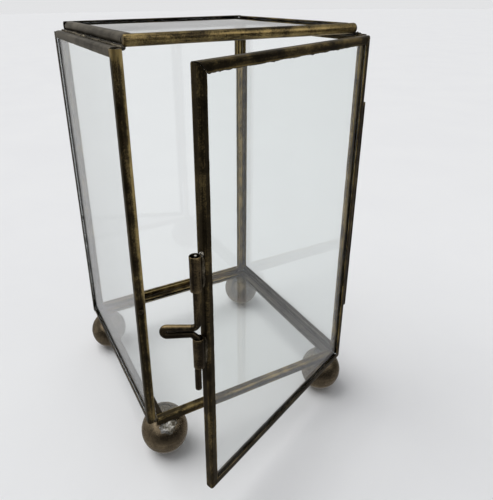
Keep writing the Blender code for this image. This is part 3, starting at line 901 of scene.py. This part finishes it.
def splash(corner, toward, spread, seed, look):
    """A thin, ragged patch of solder run down a ball. spread is its half angle in radians."""
    name = "solder_splash_" + corner
    center, radius = ball_place("foot_" + corner)[2:]
    axis = Vector(toward).normalized()
    side = axis.cross(Vector((0, 0, 1))).normalized()
    up = side.cross(axis)
    shape = bmesh.new()
    spokes, steps = 72, 16
    sunk = -0.5 * MM  # how far its underside lies in the ball
    skins = []
    for skin in (1, -1):
        rings = []
        for i in range(1, steps + 1):
            share = i / steps
            ring = []
            for k in range(spokes):
                angle = 2 * math.pi * k / spokes
                level, steep = math.cos(angle), math.sin(angle)
                edge = spread * (1 + 0.45 * noise.noise(Vector((1.3 * level, 1.3 * steep, seed))))
                edge *= 1 + 0.22 * noise.noise(Vector((4 * level, 4 * steep, seed)))
                across = side * level * 1.25 + up * steep
                out = (axis + across * math.tan(edge * share)).normalized()
                lump = 0.20 + 0.22 * noise.noise(out * 6 + Vector((seed, 0, 0)))
                lump += 0.05 * noise.noise(out * 16)
                rise = lump * MM * (1 - share**8) - 0.1 * MM * share**8
                ring.append(shape.verts.new(center + out * (radius + (rise if skin > 0 else sunk))))
            rings.append(ring)
        middle = radius + (0.20 * MM if skin > 0 else sunk)
        tip = shape.verts.new(center + axis * middle)
        for k in range(spokes):
            j = (k + 1) % spokes
            shape.faces.new((tip, rings[0][k], rings[0][j]))
            for inner, outer in zip(rings, rings[1:]):
                shape.faces.new((inner[k], outer[k], outer[j], inner[j]))
        skins.append(rings[-1])
    for k in range(spokes):
        j = (k + 1) % spokes
        shape.faces.new((skins[0][k], skins[1][k], skins[1][j], skins[0][j]))
    add_piece(name, smooth_mesh(shape, name), look, "solder", BOX)


def on_door(x, y, z):
    """A point along and through the open door from its hinge, at height z."""
    return AT_HINGE @ Vector((x, y, z - HINGE_Z))


def door_solder():
    """Mitre seams, the hinge tube's seam and the fillets that hold the latch tubes."""
    low, high = box_in("door_top_rail", AT_HINGE)
    bottom = box_in("door_bottom_rail", AT_HINGE)[0].z
    leg = high.z - low.z
    front, back = low.y - 0.02 * MM, high.y + 0.02 * MM
    corners = {
        "top_left": ((low.x, high.z), (1, -1)),
        "top_right": ((high.x, high.z), (-1, -1)),
        "bottom_left": ((low.x, bottom), (1, 1)),
        "bottom_right": ((high.x, bottom), (-1, 1)),
    }
    for name, ((x, z), (dx, dz)) in corners.items():
        for face, y in (("front", front), ("back", back)):
            line = [(x + dx * t * leg, y, z + dz * t * leg) for t in (0.3, 1.0)]
            points = [AT_HINGE @ Vector(p) for p in line]
            bead(f"solder_mitre_{name}_{face}", points, 0.22 * MM, DOOR, 0.5, DULL_SOLDER)
    hem = low.z - 0.05 * MM
    for face, y in (("front", low.y + 0.35 * MM), ("back", high.y - 0.35 * MM)):
        points = [AT_HINGE @ Vector((x, y, hem)) for x in (low.x + leg, high.x - leg)]
        bead(f"solder_hem_{face}", points, 0.27 * MM, DOOR, 0.75, DULL_SOLDER)
    tube_low, tube_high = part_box("hinge_tube")
    edge = box_in("door_hinge_stile", AT_HINGE)[1].x
    for face, y in (("front", -0.75 * MM), ("back", 0.75 * MM)):
        ends = (tube_low.z + MM, tube_high.z - MM)
        line = [on_door(edge + 0.25 * MM, y, z) for z in ends]
        bead(f"solder_hinge_{face}", line, 0.4 * MM, DOOR, 0.4, DULL_SOLDER)
    spot = on_door(edge + 0.1 * MM, 0, tube_high.z)
    blob("solder_hinge_top", spot, (0.9 * MM, 0.9 * MM, 0.7 * MM), DOOR)
    stile_low = box_in("door_latch_stile", AT_HINGE)[0]
    stile, low_face = stile_low.x, stile_low.y + 0.35 * MM
    for node in ("latch_tube_upper", "latch_tube_lower"):
        low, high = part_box(node)
        for face, y in (("front", -0.95 * MM), ("back", 0.95 * MM)):
            ends = (low.z + 0.6 * MM, high.z - 0.6 * MM)
            line = [on_door(stile - 0.3 * MM, y, z) for z in ends]
            bead(f"solder_{node}_{face}", line, 0.55 * MM, DOOR, 0.4, DULL_SOLDER)
    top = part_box("latch_tube_upper")[1].z
    spot = on_door(stile - 0.35 * MM, -0.7 * MM, top - 0.2 * MM)
    blob("solder_latch_top", spot, (0.7 * MM, 0.7 * MM, 0.9 * MM), DOOR)
    mouth = AXES["latch_tube_upper"].copy()
    mouth += Vector((0.5 * MM, 0.8 * MM, top - 0.9 * MM - mouth.z))
    blob("solder_latch_mouth", mouth, (0.55 * MM, 0.45 * MM, 0.6 * MM), DOOR)
    # A thin light bead along the latch stile's inner lip: a painted highlight on that edge.
    lip = box_in("door_latch_stile", AT_HINGE)[1]
    line = [on_door(lip.x - 0.05 * MM, low_face, z) for z in (6 * MM, 76 * MM)]
    bead("solder_stile_line", line, 0.2 * MM, DOOR, 0.2, DULL_SOLDER)


def hinge_solder():
    """The drops that hold the hinge wire's bent ends on the post."""
    low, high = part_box("hinge_pin")
    for name, z in (("top", high.z - 0.6 * MM), ("bottom", low.z + 0.6 * MM)):
        spot = ((low.x + high.x) / 2, high.y + 0.1 * MM, z)
        blob(f"solder_pin_{name}", spot, (1.0 * MM, 0.6 * MM, 1.1 * MM), BOX)


# ---- Glass, floor and light ----------------------------------------------------------
def glass():
    """The CAD panes are the right shape, so they only take the glass."""
    for name, node in frame["nodes"].items():
        if name.endswith("_glass"):
            for material_slot in node.material_slots:
                material_slot.material = GLASS
            node.visible_shadow = False


def floor():
    """A wide pale surface under the balls."""
    z = min(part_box("foot_" + corner)[0].z for corner in FEET)
    shape = bmesh.new()
    bmesh.ops.create_circle(shape, cap_ends=True, segments=96, radius=6.0)
    bmesh.ops.translate(shape, vec=(0, 0, z), verts=shape.verts)
    mesh = bpy.data.meshes.new("floor")
    shape.to_mesh(mesh)
    shape.free()
    material, tree, shader = new_material("floor")
    cloud = grain(tree, millimetres(tree), 0.012, 4, 0.55)
    color = ramp(tree, cloud, (0.35, (0.81, 0.81, 0.813)), (0.65, 0.825))
    set_up(tree, shader, Base_Color=color, Roughness=0.8, Specular_IOR_Level=0.1)
    mesh.materials.append(material)
    piece = bpy.data.objects.new("floor", mesh)
    SCENE.collection.objects.link(piece)
    piece.visible_glossy = False


def sun(name, toward, spread_deg, strength, color, lit):
    """A far softbox: toward is the direction to it, and lit the pieces that it lights."""
    lamp = bpy.data.lights.new(name, "SUN")
    lamp.angle = math.radians(spread_deg)
    lamp.energy = strength
    lamp.color = color
    holder = bpy.data.objects.new(name, lamp)
    SCENE.collection.objects.link(holder)
    holder.location = Vector(toward).normalized()
    holder.rotation_euler = Vector(toward).to_track_quat("Z", "Y").to_euler()
    holder.light_linking.receiver_collection = lit


def studio():
    """A pale room behind and overhead, and a dim one in front, which the brass reflects."""
    world = bpy.data.worlds.new("studio")
    world.use_nodes = True
    tree = world.node_tree
    direction = add(tree, "SeparateXYZ", {"Vector": add(tree, "TexCoord").outputs["Generated"]})
    back = math_node(tree, "MULTIPLY_ADD", direction.outputs["Y"], 0.5)
    height = math_node(tree, "MULTIPLY_ADD", direction.outputs["Z"], 0.5)
    level = ramp(tree, back, (0.0, 0.05), (0.45, 0.14), (0.8, 0.55))
    above = ramp(tree, height, (0.58, 0.0), (0.86, 1.0))
    below = ramp(tree, height, (0.10, 1.0), (0.46, 0.0))
    room = blend_colors(tree, above, level, (0.50, 0.51, 0.53))
    room = blend_colors(tree, below, room, (0.40, 0.40, 0.41))
    rays = add(tree, "LightPath")
    seen = math_node(tree, "MAXIMUM", rays.outputs["Is Camera Ray"], rays.outputs["Is Transmission Ray"])
    light = blend_colors(tree, seen, room, PALE)
    background = tree.nodes["Background"]
    tree.links.new(light, background.inputs["Color"])
    SCENE.world = world
    lit = {name: bpy.data.collections.new(name) for name in ("metal", "balls", "ground")}
    for item in SCENE.objects:
        if item.type == "MESH" and not item.name.endswith("_glass"):
            kind = "balls" if item.name.endswith("_ball") else "metal"
            lit["ground" if item.name == "floor" else kind].objects.link(item)
    sun("overhead", (-0.10, 0.15, 1.0), 50, 1.10, (1, 1, 1), lit["metal"])
    sun("back_left", (-0.7, 0.6, 1.0), 30, 0.60, (0.97, 0.98, 1.0), lit["metal"])
    sun("key", (0.50, -0.74, 0.55), 40, 0.75, (1.0, 0.97, 0.92), lit["metal"])
    sun("shade", (-0.40, 0.35, 1.0), 50, 1.88, (1, 1, 1), lit["ground"])
    sun("ball_glow", (-0.55, -0.45, 1.0), 75, 1.0, (1, 1, 1), lit["balls"])
    SCENE.view_settings.view_transform = "Standard"
    SCENE.cycles.max_bounces = LIGHT_BOUNCES
    SCENE.cycles.transmission_bounces = LIGHT_BOUNCES


channels()
top_front_bar()
for corner in FEET:
    ball("foot_" + corner)
tube("hinge_tube", DOOR, HINGE_BORE)
tube("latch_tube_upper", DOOR, LATCH_BORE)
tube("latch_tube_lower", DOOR, LATCH_BORE)
hinge_pin()
latch_bolt()
keeper_stud()
top_seams()
back_seams()
bottom_seams()
ball_solder()
door_solder()
hinge_solder()
glass()
floor()
studio()
